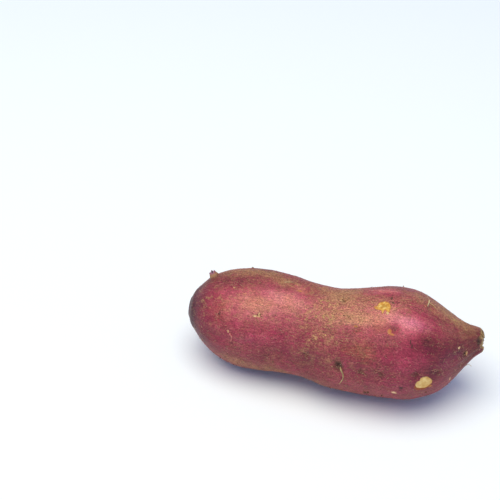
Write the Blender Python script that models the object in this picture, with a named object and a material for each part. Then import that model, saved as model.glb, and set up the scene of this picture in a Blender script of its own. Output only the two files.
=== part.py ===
"""A sweet potato: one storage root, lying on its side as picked, with its vine cut off.

The frame is in metres with +Z up. The origin is on the resting surface under the middle of the
root, and +X runs along it from the vine end to the tail. The root is one solid: its lobes, furrows
and eyes are one surface, and the rootlets that are left on it are joined to it.
"""

import math
import random
from bisect import bisect_right
from collections import namedtuple

import bmesh
import bpy
from mathutils import Matrix, Vector, noise

# Driving dimensions, in millimetres until the mesh is made
MM = 0.001
SEED = 7
SIDES = 64
RINGS = 74

# The root's form at stations from the vine end to the tail. Sideways and height place its middle
# on Y and Z, and the two halves are its size on each side of the middle.
Station = namedtuple("Station", "along sideways height half_width half_depth")
STATIONS = (
    Station(along=0.0, sideways=10.0, height=28.0, half_width=5.8, half_depth=5.6),
    Station(along=1.0, sideways=10.0, height=28.0, half_width=7.6, half_depth=7.2),
    Station(along=2.2, sideways=10.0, height=28.0, half_width=10.4, half_depth=9.8),
    Station(along=5.4, sideways=9.9, height=27.9, half_width=14.4, half_depth=13.4),
    Station(along=11.0, sideways=9.6, height=27.6, half_width=20.0, half_depth=19.0),
    Station(along=19.0, sideways=9.2, height=26.9, half_width=25.0, half_depth=23.6),
    Station(along=29.0, sideways=8.8, height=26.6, half_width=28.2, half_depth=26.4),
    Station(along=43.0, sideways=8.0, height=27.1, half_width=29.6, half_depth=27.5),
    Station(along=58.0, sideways=5.8, height=28.0, half_width=28.6, half_depth=26.8),
    Station(along=71.0, sideways=2.2, height=28.6, half_width=27.2, half_depth=25.8),
    Station(along=85.0, sideways=-1.6, height=29.0, half_width=28.0, half_depth=26.8),
    Station(along=101.0, sideways=-2.0, height=29.8, half_width=30.2, half_depth=29.0),
    Station(along=117.0, sideways=-2.0, height=30.4, half_width=32.0, half_depth=30.8),
    Station(along=129.0, sideways=-1.8, height=29.8, half_width=31.0, half_depth=29.6),
    Station(along=139.0, sideways=-1.4, height=29.0, half_width=27.2, half_depth=25.8),
    Station(along=147.0, sideways=-0.7, height=28.5, half_width=22.5, half_depth=21.4),
    Station(along=154.0, sideways=0.8, height=29.8, half_width=16.4, half_depth=16.0),
    Station(along=159.5, sideways=2.9, height=31.8, half_width=11.6, half_depth=11.3),
    Station(along=163.0, sideways=4.4, height=33.2, half_width=8.8, half_depth=8.7),
    Station(along=165.2, sideways=5.1, height=33.5, half_width=7.5, half_depth=7.3),
    Station(along=166.6, sideways=5.3, height=33.3, half_width=5.9, half_depth=5.8),
    Station(along=167.4, sideways=5.4, height=33.1, half_width=3.6, half_depth=3.5),
)


def mix(a, b, share):
    return a + (b - a) * share


def outline_runs():
    """How far each station is from the vine end, measured along the outline."""
    runs = [0.0]
    for here, there in zip(STATIONS, STATIONS[1:]):
        step = math.hypot(there.along - here.along, there.half_width - here.half_width)
        runs.append(runs[-1] + step)
    return runs


RUNS = outline_runs()


def slope_at(index):
    """How fast each value changes at a station, led by the stations on both sides."""
    before = max(index - 1, 0)
    after = min(index + 1, len(STATIONS) - 1)
    if before == index or after == index:
        span = RUNS[after] - RUNS[before]
        return [(b - a) / span for a, b in zip(STATIONS[before], STATIONS[after])]
    near = RUNS[index] - RUNS[before]
    far = RUNS[after] - RUNS[index]
    return [
        ((b - a) / near * far + (c - b) / far * near) / (near + far)
        for a, b, c in zip(STATIONS[before], STATIONS[index], STATIONS[after])
    ]


SLOPES = [slope_at(index) for index in range(len(STATIONS))]


def station_at(run):
    """The root's form at a distance along the outline, on one smooth curve through the stations."""
    index = min(max(bisect_right(RUNS, run) - 1, 0), len(STATIONS) - 2)
    span = RUNS[index + 1] - RUNS[index]
    t = (run - RUNS[index]) / span
    end_share = t * t * (3 - 2 * t)
    leave = t * (1 - t) ** 2 * span
    arrive = t * t * (t - 1) * span
    values = zip(STATIONS[index], STATIONS[index + 1], SLOPES[index], SLOPES[index + 1])
    return Station(
        *(a + (b - a) * end_share + leave * m + arrive * n for a, b, m, n in values)
    )


# Eyes are the pits where thin roots grew. They lie in lengthwise rows, each in a shallow furrow.
# run is the distance from the vine end along the skin, and the angle is in degrees round the root.
Eye = namedtuple("Eye", "run angle size")
EYE_ROWS = (5, 49, 86, 151, 222, 291)
FRONT_EYES = (
    Eye(run=83.0, angle=8, size=0.8),
    Eye(run=101.5, angle=7, size=1.4),
    Eye(run=114.0, angle=3, size=1.0),
    Eye(run=125.0, angle=4, size=1.1),
    Eye(run=142.0, angle=5, size=0.8),
    Eye(run=152.0, angle=10, size=0.9),
    Eye(run=173.5, angle=19, size=0.7),
    Eye(run=30.5, angle=36, size=0.8),
    Eye(run=54.0, angle=44, size=0.8),
    Eye(run=114.0, angle=48, size=0.9),
    Eye(run=130.0, angle=54, size=1.3),
    Eye(run=36.5, angle=77, size=0.8),
    Eye(run=99.5, angle=85, size=1.1),
    Eye(run=148.0, angle=91, size=0.9),
)
EYE_LENGTH = 2.0
EYE_BREADTH = 3.2
EYE_DEPTH = 1.1
FURROW_BREADTH = 4.0
FURROW_DEPTH = 0.8

# Rootlets left on the skin: where each one starts, how far it goes along the root and round it
Rootlet = namedtuple("Rootlet", "run angle forward around bow")
FRONT_ROOTLETS = (
    Rootlet(run=101.5, angle=7, forward=1.6, around=-24, bow=2.2),
    Rootlet(run=145.8, angle=110, forward=-0.8, around=-19, bow=0.1),
    Rootlet(run=37.9, angle=19, forward=2.0, around=-10, bow=1.0),
)
ROOTLET_RADIUS = 0.5
ROOTLET_SIDES = 6
ROOTLET_RINGS = 8

# The shoot that broke off short, near the vine end
SHOOT_RUN = 20.5
SHOOT_ANGLE = 107
SHOOT_RADIUS = 2.1
SHOOT_HEIGHT = 3.0


# Patches where the skin was rubbed off, a little below the skin round them
Scar = namedtuple("Scar", "run angle length breadth")
SCARS = (
    Scar(run=120.5, angle=75, length=4.6, breadth=3.2),
    Scar(run=148.0, angle=-2, length=4.6, breadth=3.8),
    Scar(run=64.0, angle=196, length=5.2, breadth=2.8),
)
SCAR_DEPTH = 0.5


def hidden_eyes():
    """Eyes on the side away from the front, at uneven steps along their rows."""
    chance = random.Random(SEED)
    eyes = []
    for row in EYE_ROWS[3:]:
        run = chance.uniform(24, 34)
        while run < RUNS[-1] - 22:
            angle = row + chance.uniform(-6, 6)
            eyes.append(Eye(run, angle, chance.uniform(0.7, 1.3)))
            run += chance.uniform(12, 27)
    return eyes


EYES = list(FRONT_EYES) + hidden_eyes()


def turn_between(degrees, angle):
    """The shortest turn from an angle in degrees to one in radians, in radians."""
    return (angle - math.radians(degrees) + math.pi) % (2 * math.pi) - math.pi


def fade(value, start, end):
    """0 up to start and 1 from end on, smooth between them."""
    share = min(max((value - start) / (end - start), 0.0), 1.0)
    return share * share * (3 - 2 * share)


def furrow_depth(run, angle, girth):
    depth = 0.0
    for number, row in enumerate(EYE_ROWS):
        wander = 5 * math.sin(run / 21 + 1.7 * number)
        across = turn_between(row + wander, angle) * girth / FURROW_BREADTH
        strength = 0.6 + 0.4 * math.sin(run / 17 + 2.3 * number)
        depth += FURROW_DEPTH * strength * math.exp(-across * across)
    return depth


def eye_depth(run, angle, girth):
    depth = 0.0
    for eye in EYES:
        lengthwise = (run - eye.run) / (EYE_LENGTH * eye.size)
        across = turn_between(eye.angle, angle) * girth / (EYE_BREADTH * eye.size)
        reach = lengthwise * lengthwise + across * across
        if reach < 9:
            depth += EYE_DEPTH * eye.size * math.exp(-reach)
    return depth


def scar_depth(run, angle, girth):
    depth = 0.0
    for scar in SCARS:
        lengthwise = (run - scar.run) / scar.length
        across = turn_between(scar.angle, angle) * girth / scar.breadth
        depth += SCAR_DEPTH * (1 - fade(math.hypot(lengthwise, across), 0.7, 1.3))
    return depth


def swelling(along, angle, girth):
    """The slow unevenness of a root that pushed through soil."""
    place = Vector((along / 34, 1.2 * math.cos(angle), 1.2 * math.sin(angle)))
    slow = 1.5 * noise.noise(place + Vector((3.1, 0.4, 7.7)))
    ribs = 0.35 * math.cos(3 * angle + along / 31) + 0.2 * math.cos(7 * angle - along / 26)
    return (slow + ribs) * girth / 30


def tail_folds(run, angle):
    """The skin gathers into lengthwise folds where the root narrows to its tail."""
    share = fade(run, RUNS[-1] - 32, RUNS[-1] - 9) * (1 - 0.5 * fade(run, RUNS[-1] - 4, RUNS[-1]))
    lean = 0.5 * math.sin(run / 6)
    height = 0.26 + 0.12 * math.sin(2 * angle + 0.8)
    return share * (height * math.sin(9 * angle + lean) + 0.14 * math.sin(13 * angle - 2 * lean))


def skin_point(run, angle):
    """A point on the skin. The angle is 0 on the -Y side and a quarter turn at the top."""
    station = station_at(run)
    girth = station.half_width
    ends = fade(run, 6, 24) * (1 - fade(run, RUNS[-1] - 16, RUNS[-1] - 4))
    relief = swelling(station.along, angle, girth) + tail_folds(run, angle)
    relief -= (furrow_depth(run, angle, girth) + eye_depth(run, angle, girth)) * ends
    relief -= scar_depth(run, angle, girth)
    y = station.sideways - (station.half_width + relief) * math.cos(angle)
    z = station.height + (station.half_depth + relief) * math.sin(angle)
    return Vector((station.along, y, max(z, 0.0)))


def outward(run, angle):
    """The direction straight out of the skin."""
    along = skin_point(run + 0.8, angle) - skin_point(run - 0.8, angle)
    round_it = skin_point(run, angle + 0.03) - skin_point(run, angle - 0.03)
    return along.cross(round_it).normalized()


def ringed_mesh(name, sides, rings, point):
    """A closed body with flat ends: a cylinder, with each vertex moved to point(ring, turn)."""
    mesh = bpy.data.meshes.new(name)
    body = bmesh.new()
    bmesh.ops.create_cone(
        body, cap_ends=True, segments=sides, radius1=1, radius2=1, depth=rings
    )
    lengthwise = [edge for edge in body.edges if abs(edge.verts[0].co.z - edge.verts[1].co.z) > 0.5]
    bmesh.ops.subdivide_edges(body, edges=lengthwise, cuts=rings - 1)
    for vert in body.verts:
        ring = round(vert.co.z + rings / 2)
        vert.co = point(ring, math.atan2(vert.co.y, vert.co.x)) * MM
    body.normal_update()
    bmesh.ops.recalc_face_normals(body, faces=body.faces)
    body.to_mesh(mesh)
    body.free()
    return bpy.data.objects.new(name, mesh)


def make_body():
    def point(ring, angle):
        return skin_point(RUNS[-1] * ring / RINGS, angle)

    return ringed_mesh("sweet_potato", SIDES, RINGS, point)


def make_rootlet(number, rootlet):
    """A thin root that follows the skin, with its start sunk in and its tip lifting off."""

    def point(ring, turn):
        share = ring / ROOTLET_RINGS
        bow = rootlet.bow * math.sin(math.pi * share)
        run = rootlet.run + rootlet.forward * share + bow
        angle = math.radians(rootlet.angle + rootlet.around * share)
        up = outward(run, angle)
        step = math.radians(rootlet.around) / ROOTLET_RINGS
        ahead = skin_point(run + rootlet.forward / ROOTLET_RINGS, angle + step) - skin_point(run, angle)
        side = up.cross(ahead).normalized()
        lift = mix(-1.6, -0.05, fade(share, 0.0, 0.25)) + 0.6 * fade(share, 0.6, 1.0)
        radius = ROOTLET_RADIUS * (1.25 - 0.5 * share)
        spread = side * math.cos(turn) + up * math.sin(turn)
        return skin_point(run, angle) + up * lift + spread * radius

    return ringed_mesh(f"rootlet_{number}", ROOTLET_SIDES, ROOTLET_RINGS, point)


def make_shoot():
    """A shoot that broke off short: a ragged little cup."""
    foot = skin_point(SHOOT_RUN, math.radians(SHOOT_ANGLE))
    up = outward(SHOOT_RUN, math.radians(SHOOT_ANGLE))
    side = up.cross(Vector((1, 0, 0))).normalized()
    other = up.cross(side)
    heights = (-1.5, 0.0, 0.5, 0.85, 1.0, 0.95, 0.6)
    widths = (1.35, 1.3, 0.95, 0.9, 0.85, 0.6, 0.35)

    def point(ring, turn):
        rag = 1 + 0.14 * math.sin(3 * turn + 0.5) * fade(ring, 2, 4)
        height = heights[ring] * (SHOOT_HEIGHT if heights[ring] > 0 else 1) * rag
        spread = side * math.cos(turn) + other * math.sin(turn)
        return foot + up * height + spread * widths[ring] * SHOOT_RADIUS

    return ringed_mesh("shoot", 10, len(heights) - 1, point)


def hidden_rootlets():
    """Some of the eyes on the far side keep a short rootlet, but none where the root lies on."""
    chance = random.Random(SEED + 1)
    rootlets = []
    for eye in hidden_eyes():
        keeps = chance.random() < 0.4
        around = chance.choice((-1, 1)) * chance.uniform(8, 20)
        forward = chance.uniform(-3, 5)
        if keeps and eye.angle < 190:
            rootlets.append(Rootlet(eye.run, eye.angle, forward, around, 1.2))
    return rootlets


def main():
    for obj in list(bpy.data.objects):
        bpy.data.objects.remove(obj)
    collection = bpy.data.collections.new("sweet_potato")
    bpy.context.scene.collection.children.link(collection)
    repeats = bpy.data.collections.new("rootlets and shoot, joined to the root")
    repeats.hide_render = True
    bpy.context.scene.collection.children.link(repeats)

    root = make_body()
    collection.objects.link(root)
    for number, rootlet in enumerate(list(FRONT_ROOTLETS) + hidden_rootlets()):
        repeats.objects.link(make_rootlet(number, rootlet))
    repeats.objects.link(make_shoot())
    for obj in repeats.objects:
        obj.display_type = "WIRE"

    union = root.modifiers.new("join the rootlets", "BOOLEAN")
    union.operand_type = "COLLECTION"
    union.collection = repeats
    union.operation = "UNION"
    union.solver = "EXACT"
    bpy.context.view_layer.objects.active = root
    bpy.ops.object.modifier_apply(modifier=union.name)
    for obj in list(repeats.objects):
        bpy.data.objects.remove(obj)

    # The origin goes under the middle of the root.
    corners = [vert.co for vert in root.data.vertices]
    middle_x = (min(co.x for co in corners) + max(co.x for co in corners)) / 2
    middle_y = (min(co.y for co in corners) + max(co.y for co in corners)) / 2
    root.data.transform(Matrix.Translation((-middle_x, -middle_y, 0)))

    skin = bpy.data.materials.new("skin")
    skin.use_nodes = True
    look = skin.node_tree.nodes["Principled BSDF"]
    look.inputs["Base Color"].default_value = (0.25, 0.045, 0.07, 1)
    look.inputs["Roughness"].default_value = 0.5
    look.inputs["Metallic"].default_value = 0.0
    root.data.materials.append(skin)
    root.data.shade_smooth()
    root.data.set_sharp_from_angle(angle=math.radians(50))


main()
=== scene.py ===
# %% [markdown]
# # A sweet potato
#
# A sweet potato is a storage root. It is one grown body: a thin cork skin, coloured red by a layer
# just under it, over starchy flesh. So nearly everything here is one surface, and most of the work
# goes into giving that surface the pits, furrows, scars and dust that soil and harvest leave on it.
#
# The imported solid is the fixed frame. It has the root's form already, and a finer surface with the
# same form takes its place below.

import math
import random
from collections import namedtuple

import bmesh
import bpy
import numpy as np
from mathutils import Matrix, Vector, noise
from mathutils.bvhtree import BVHTree


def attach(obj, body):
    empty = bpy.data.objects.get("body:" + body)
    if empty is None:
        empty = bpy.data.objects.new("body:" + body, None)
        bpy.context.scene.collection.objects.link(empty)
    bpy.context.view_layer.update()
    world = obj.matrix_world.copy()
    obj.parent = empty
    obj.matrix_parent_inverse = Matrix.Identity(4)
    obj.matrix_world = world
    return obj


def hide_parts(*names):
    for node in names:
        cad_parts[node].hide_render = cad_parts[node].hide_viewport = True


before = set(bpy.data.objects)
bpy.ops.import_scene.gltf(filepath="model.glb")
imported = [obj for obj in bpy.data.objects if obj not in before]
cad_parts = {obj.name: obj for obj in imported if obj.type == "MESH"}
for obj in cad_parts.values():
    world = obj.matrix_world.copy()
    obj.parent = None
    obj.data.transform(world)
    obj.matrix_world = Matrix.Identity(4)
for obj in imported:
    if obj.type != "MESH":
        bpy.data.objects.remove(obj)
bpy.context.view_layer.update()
MM = 0.001

# %% [markdown]
# ## The root's form
#
# A root swells unevenly as it pushes through soil: here two lobes, a waist, a blunt end where the
# vine grew and a tail where the root thinned out. It could be sculpted by hand, but a few measured
# cross-sections with one smooth curve through them are easier to set against the real thing.
# They are the same values as in the solid's source, so both surfaces agree.

# %% Stations from the vine end to the tail, in millimetres
Station = namedtuple("Station", "along sideways height half_width half_depth")
STATIONS = (
    Station(along=0.0, sideways=10.0, height=28.0, half_width=5.8, half_depth=5.6),
    Station(along=1.0, sideways=10.0, height=28.0, half_width=7.6, half_depth=7.2),
    Station(along=2.2, sideways=10.0, height=28.0, half_width=10.4, half_depth=9.8),
    Station(along=5.4, sideways=9.9, height=27.9, half_width=14.4, half_depth=13.4),
    Station(along=11.0, sideways=9.6, height=27.6, half_width=20.0, half_depth=19.0),
    Station(along=19.0, sideways=9.2, height=26.9, half_width=25.0, half_depth=23.6),
    Station(along=29.0, sideways=8.8, height=26.6, half_width=28.2, half_depth=26.4),
    Station(along=43.0, sideways=8.0, height=27.1, half_width=29.6, half_depth=27.5),
    Station(along=58.0, sideways=5.8, height=28.0, half_width=28.6, half_depth=26.8),
    Station(along=71.0, sideways=2.2, height=28.6, half_width=27.2, half_depth=25.8),
    Station(along=85.0, sideways=-1.6, height=29.0, half_width=28.0, half_depth=26.8),
    Station(along=101.0, sideways=-2.0, height=29.8, half_width=30.2, half_depth=29.0),
    Station(along=117.0, sideways=-2.0, height=30.4, half_width=32.0, half_depth=30.8),
    Station(along=129.0, sideways=-1.8, height=29.8, half_width=31.0, half_depth=29.6),
    Station(along=139.0, sideways=-1.4, height=29.0, half_width=27.2, half_depth=25.8),
    Station(along=147.0, sideways=-0.7, height=28.5, half_width=22.5, half_depth=21.4),
    Station(along=154.0, sideways=0.8, height=29.8, half_width=16.4, half_depth=16.0),
    Station(along=159.5, sideways=2.9, height=31.8, half_width=11.6, half_depth=11.3),
    Station(along=163.0, sideways=4.4, height=33.2, half_width=8.8, half_depth=8.7),
    Station(along=165.2, sideways=5.1, height=33.5, half_width=7.5, half_depth=7.3),
    Station(along=166.6, sideways=5.3, height=33.3, half_width=5.9, half_depth=5.8),
    Station(along=167.4, sideways=5.4, height=33.1, half_width=3.6, half_depth=3.5),
)
ORIGIN = np.array([83.7, 1.61, 0.0])
FORM = np.array(STATIONS)
STEPS = np.hypot(np.diff(FORM[:, 0]), np.diff(FORM[:, 3]))
RUNS = np.concatenate([[0.0], np.cumsum(STEPS)])
END = RUNS[-1]
print("outline from end to end, in mm:", round(END, 1))


# %% One smooth curve through the stations
def station_slopes():
    """How fast each value changes at each station, led by the stations on both sides."""
    rates = np.diff(FORM, axis=0) / STEPS[:, None]
    near, far = STEPS[:-1, None], STEPS[1:, None]
    inner = (rates[:-1] * far + rates[1:] * near) / (near + far)
    return np.vstack([rates[:1], inner, rates[-1:]])


SLOPES = station_slopes()


def form_at(run):
    """The five station values at each distance along the outline."""
    index = np.clip(np.searchsorted(RUNS, run, side="right") - 1, 0, len(FORM) - 2)
    span = STEPS[index][:, None]
    t = ((run - RUNS[index]) / STEPS[index])[:, None]
    start, end = FORM[index], FORM[index + 1]
    leave = t * (1 - t) ** 2 * span * SLOPES[index]
    arrive = t * t * (t - 1) * span * SLOPES[index + 1]
    return (start + (end - start) * t * t * (3 - 2 * t) + leave + arrive).T


print("girth at the waist, in mm:", np.round(2 * form_at(np.array([80.3]))[3:].ravel(), 1))

# %% [markdown]
# ## What the skin carries
#
# Thin roots grew from the eyes, which stand in lengthwise rows, each row in a shallow furrow. The
# skin was also rubbed off in two or three patches. All of it is height on one surface, so each
# feature is a small function of the place on the skin: the distance from the vine end and the angle
# round the root. That is easier to place and to tell apart than dents pushed in one by one.
#
# The front eyes were set against the real root once more after the solid was made, so a few stand a
# millimetre or more from the solid's dimple. This surface stands in for the solid, so only one
# dimple shows. shade says how much dark crust an eye has: an old, healed one has hardly any.

# %% Where the eyes and scars are
SEED = 7
Eye = namedtuple("Eye", "run angle size shade")
EYE_ROWS = (5, 49, 86, 151, 222, 291)
FRONT_EYES = (
    Eye(run=83.0, angle=8, size=0.8, shade=0.5),
    Eye(run=101.5, angle=7, size=1.4, shade=1.0),
    Eye(run=114.0, angle=3, size=1.0, shade=0.55),
    Eye(run=125.0, angle=4, size=1.1, shade=0.55),
    Eye(run=143.5, angle=8, size=0.9, shade=0.6),
    Eye(run=156.0, angle=9, size=0.6, shade=0.35),
    Eye(run=173.2, angle=20, size=0.8, shade=0.95),
    Eye(run=30.5, angle=36, size=0.8, shade=0.3),
    Eye(run=54.0, angle=44, size=0.8, shade=0.2),
    Eye(run=109.5, angle=50, size=0.9, shade=0.45),
    Eye(run=103.0, angle=62, size=0.5, shade=0.4),
    Eye(run=130.0, angle=54, size=1.3, shade=0.45),
    Eye(run=36.5, angle=77, size=0.8, shade=0.1),
    Eye(run=100.0, angle=86, size=0.7, shade=1.0),
    Eye(run=148.0, angle=91, size=0.9, shade=0.2),
)
EYE_LENGTH, EYE_BREADTH, EYE_DEPTH = 2.0, 3.2, 1.1
FURROW_BREADTH, FURROW_DEPTH = 4.0, 0.8


def hidden_eyes():
    """Eyes on the side away from the front, at uneven steps along their rows."""
    chance = random.Random(SEED)
    eyes = []
    for row in EYE_ROWS[3:]:
        run = chance.uniform(24, 34)
        while run < END - 22:
            angle = row + chance.uniform(-6, 6)
            size = chance.uniform(0.7, 1.3)
            eyes.append(Eye(run, angle, size, min(1.0, 0.35 + 0.5 * (size - 0.7) / 0.6)))
            run += chance.uniform(12, 27)
    return eyes


EYES = list(FRONT_EYES) + hidden_eyes()
print("eyes:", len(EYES))

# %% [markdown]
# ## Height on the skin
#
# Each feature is a height in millimetres for many places at once. Three helpers are enough for all
# of them: a soft step, the shortest way round from one angle to another, and smooth noise of a
# given size. The furrows, dimples, swelling and folds below are the solid's own. The torn rim at
# the tail is new, because a tear that ragged needs far more faces than the solid has.


# %% Small helpers for height on the skin
def fade(value, start, end):
    """0 up to start and 1 from end on, smooth between them."""
    share = np.clip((value - start) / (end - start), 0.0, 1.0)
    return share * share * (3 - 2 * share)


def turn_between(degrees, angle):
    """The shortest turn from an angle in degrees to angles in radians, in radians."""
    return (angle - np.radians(degrees) + np.pi) % (2 * np.pi) - np.pi


def soil_noise(points, size, start=(0.0, 0.0, 0.0)):
    """Smooth noise from -1 to 1 whose lumps are about size across."""
    start = Vector(start)
    return np.array([noise.noise(Vector(point) / size + start) for point in points])


print("fade halfway:", float(fade(0.5, 0, 1)))


# %% Furrows and dimples
def furrows(run, angle, girth):
    """Depth of the furrows that join the eyes of a row. Each wanders and comes and goes."""
    depth = 0.0
    for number, row in enumerate(EYE_ROWS):
        wander = 5 * np.sin(run / 21 + 1.7 * number)
        across = turn_between(row + wander, angle) * girth / FURROW_BREADTH
        strength = 0.6 + 0.4 * np.sin(run / 17 + 2.3 * number)
        depth = depth + FURROW_DEPTH * strength * np.exp(-across * across)
    return depth


def eye_reach(eye, run, angle, girth):
    """How far each place is from an eye, where 1 is the edge of its dimple."""
    lengthwise = (run - eye.run) / (EYE_LENGTH * eye.size)
    across = turn_between(eye.angle, angle) * girth / (EYE_BREADTH * eye.size)
    return lengthwise, across


def strayed(run, angle, girth, places):
    """Shifts each place a little by noise, so that what is drawn round an eye is never a true oval."""
    away_from_ends = fade(run, 6, 16) * (1 - fade(run, END - 10, END - 4))
    run = run + 0.9 * soil_noise(places, 3.2, (6, 0, 4)) * away_from_ends
    return run, angle + 1.1 * soil_noise(places, 3.2, (0, 7, 5)) / girth


def eye_dimples(run, angle, girth):
    """Depth of the soft pits that the eyes sit in."""
    depth = 0.0
    for eye in EYES:
        lengthwise, across = eye_reach(eye, run, angle, girth)
        reach = lengthwise**2 + across**2
        depth = depth + EYE_DEPTH * eye.size * np.exp(-reach) * (reach < 9)
    return depth


print("deepest dimple of an eye of size 1, in mm:", EYE_DEPTH)


# %% Swelling, and the folds and the torn rim at the tail
FOLDS_START = 32


def swelling(along, angle, girth):
    """The slow unevenness of a root that pushed through soil."""
    places = np.stack([along / 34, 1.2 * np.cos(angle), 1.2 * np.sin(angle)], axis=1)
    slow = 1.5 * soil_noise(places, 1, (3.1, 0.4, 7.7))
    ribs = 0.35 * np.cos(3 * angle + along / 31) + 0.2 * np.cos(7 * angle - along / 26)
    return (slow + ribs) * girth / 30


def tail_folds(run, angle):
    """The skin gathers into lengthwise folds where the root narrows to its tail."""
    share = fade(run, END - FOLDS_START, END - 9) * (1 - 0.5 * fade(run, END - 4, END))
    lean = 0.5 * np.sin(run / 6)
    height = 0.26 + 0.12 * np.sin(2 * angle + 0.8)
    return share * (height * np.sin(9 * angle + lean) + 0.14 * np.sin(13 * angle - 2 * lean))


def torn_rim(run, angle):
    """How far the skin at the tail was torn back or left standing, along the root."""
    share = fade(run, END - 5.5, END - 2)
    round_it = np.stack([np.full(len(run), 0.3), 3.5 * np.cos(angle), 3.5 * np.sin(angle)], axis=1)
    return share * (0.9 * soil_noise(round_it, 1.0) + 0.5 * soil_noise(round_it, 0.45, (4, 1, 0)))


print("the folds start before the tail's end by, in mm:", FOLDS_START)

# %% [markdown]
# ## Rubbed patches
#
# Where the skin is rubbed off, the flesh heals over in cream or deep yellow. Each patch on the real
# root has its own ragged outline. An ellipse would look stamped, so the large patches have a measured
# outline of a dozen points, and noise breaks their edge. Small marks are ellipses.

# %% The outlines of the large patches, each point as (run, angle)
YELLOW_SCAR = (
    (116.6, 74.0), (118.7, 77.7), (119.1, 80.5), (120.4, 82.7), (122.5, 83.7), (124.3, 82.9),
    (125.6, 79.2), (125.7, 75.8), (125.4, 71.6), (124.5, 67.4), (123.8, 71.0), (123.2, 73.6),
    (122.5, 71.6), (121.8, 68.2), (121.2, 72.0), (119.9, 72.5), (118.1, 73.3),
)
CREAM_SCAR = (
    (143.9, -2.5), (144.6, 0.2), (146.0, 1.2), (146.2, 4.0), (147.5, 5.4), (149.7, 5.4),
    (151.7, 2.7), (153.1, -0.7), (153.2, -4.8), (151.8, -7.1), (150.6, -8.4), (149.6, -10.3),
    (148.2, -10.0), (146.3, -9.6), (145.0, -8.6), (144.0, -5.3),
)
BACK_SCAR = (
    (59.6, 196.0), (61.2, 200.2), (64.0, 200.6), (66.6, 198.8), (69.6, 198.2), (69.2, 194.6),
    (66.4, 193.2), (65.0, 190.4), (62.2, 190.8), (60.4, 192.6),
)
print("points on the outlines:", len(YELLOW_SCAR), len(CREAM_SCAR), len(BACK_SCAR))

# %% Small marks: scars, ochre spots and dark spots
Blob = namedtuple("Blob", "run angle length breadth")
SMALL_SCARS = (
    Blob(run=132.6, angle=-18, length=1.8, breadth=1.3),
    Blob(run=98.4, angle=85, length=1.0, breadth=0.6),
    Blob(run=54.2, angle=45, length=0.7, breadth=1.6),
    Blob(run=52.2, angle=43, length=1.7, breadth=0.6),
    Blob(run=37.5, angle=20, length=0.6, breadth=1.0),
    Blob(run=168.7, angle=40.5, length=0.8, breadth=0.8),
    Blob(run=36.5, angle=77, length=0.7, breadth=0.6),
    Blob(run=174.4, angle=17.6, length=0.7, breadth=1.2),
    Blob(run=164.6, angle=-20, length=0.6, breadth=1.8),
    Blob(run=124.4, angle=69.6, length=0.9, breadth=1.2),
    Blob(run=92.0, angle=170, length=0.8, breadth=2.2),
    Blob(run=131.0, angle=204, length=1.8, breadth=1.1),
    Blob(run=44.0, angle=258, length=1.2, breadth=2.0),
)

OCHRE_MARKS = (
    Blob(run=127.0, angle=50.2, length=1.2, breadth=1.9),
    Blob(run=128.6, angle=47.5, length=1.3, breadth=0.8),
    Blob(run=118.0, angle=75.8, length=1.6, breadth=1.1),
    Blob(run=108.4, angle=53.4, length=1.6, breadth=0.6),
    Blob(run=152.5, angle=-9.5, length=1.2, breadth=0.8),
    Blob(run=74.0, angle=88, length=1.6, breadth=1.0),
    Blob(run=150.0, angle=150, length=1.0, breadth=1.6),
    Blob(run=98.0, angle=226, length=1.4, breadth=1.4),
)
DARK_MARKS = (
    Blob(run=126.5, angle=82.7, length=0.9, breadth=0.9),
    Blob(run=125.4, angle=89.2, length=0.8, breadth=1.3),
    Blob(run=136.2, angle=-8.1, length=1.3, breadth=1.4),
    Blob(run=138.6, angle=44, length=0.5, breadth=1.4),
    Blob(run=139.6, angle=39, length=0.5, breadth=1.8),
    Blob(run=181.6, angle=40, length=1.3, breadth=3.0),
    Blob(run=30.8, angle=38.5, length=0.8, breadth=0.8),
    Blob(run=87.0, angle=186, length=0.7, breadth=1.6),
    Blob(run=118.0, angle=240, length=1.2, breadth=1.2),
    Blob(run=55.0, angle=150, length=1.0, breadth=0.8),
)
print("small marks:", len(SMALL_SCARS) + len(OCHRE_MARKS) + len(DARK_MARKS))


# %% How far a place is from an outline or an ellipse
def outline_gap(outline, run, angle, girth):
    """Millimetres from an outline: less than 0 inside it, and 6 where it is far away."""
    middle_run, middle_angle = np.mean(outline, axis=0)
    across = turn_between(middle_angle, angle) * girth
    gap = np.full(len(run), 6.0)
    near = (np.abs(run - middle_run) < 12) & (np.abs(across) < 12)
    spot = np.stack([run[near], across[near]], axis=1)
    if not len(spot):
        return gap
    scale = np.radians(1) * float(np.mean(girth[near]))
    corners = [np.array([r, (a - middle_angle) * scale]) for r, a in outline]
    least = np.full(len(spot), 6.0)
    inside = np.zeros(len(spot), bool)
    for start, end in zip(corners, corners[1:] + corners[:1]):
        side = end - start
        t = np.clip((spot - start) @ side / (side @ side), 0, 1)
        least = np.minimum(least, np.linalg.norm(spot - start - t[:, None] * side, axis=1))
        crosses = (start[1] > spot[:, 1]) != (end[1] > spot[:, 1])
        height = side[1] if abs(side[1]) > 1e-9 else 1e-9
        inside ^= crosses & (spot[:, 0] < start[0] + side[0] * (spot[:, 1] - start[1]) / height)
    gap[near] = np.where(inside, -least, least)
    return gap


def blob_distance(blobs, run, angle, girth):
    """0 in the middle of the nearest ellipse, 1 at its edge and more outside."""
    nearest = np.full(len(run), 9.0)
    for blob in blobs:
        lengthwise = (run - blob.run) / blob.length
        across = turn_between(blob.angle, angle) * girth / blob.breadth
        nearest = np.minimum(nearest, np.hypot(lengthwise, across))
    return nearest


first_scar = np.array([SMALL_SCARS[0].run]), np.radians([SMALL_SCARS[0].angle])
print("distance in the middle of a scar:", blob_distance(SMALL_SCARS, *first_scar, np.array([30.0])))

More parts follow.
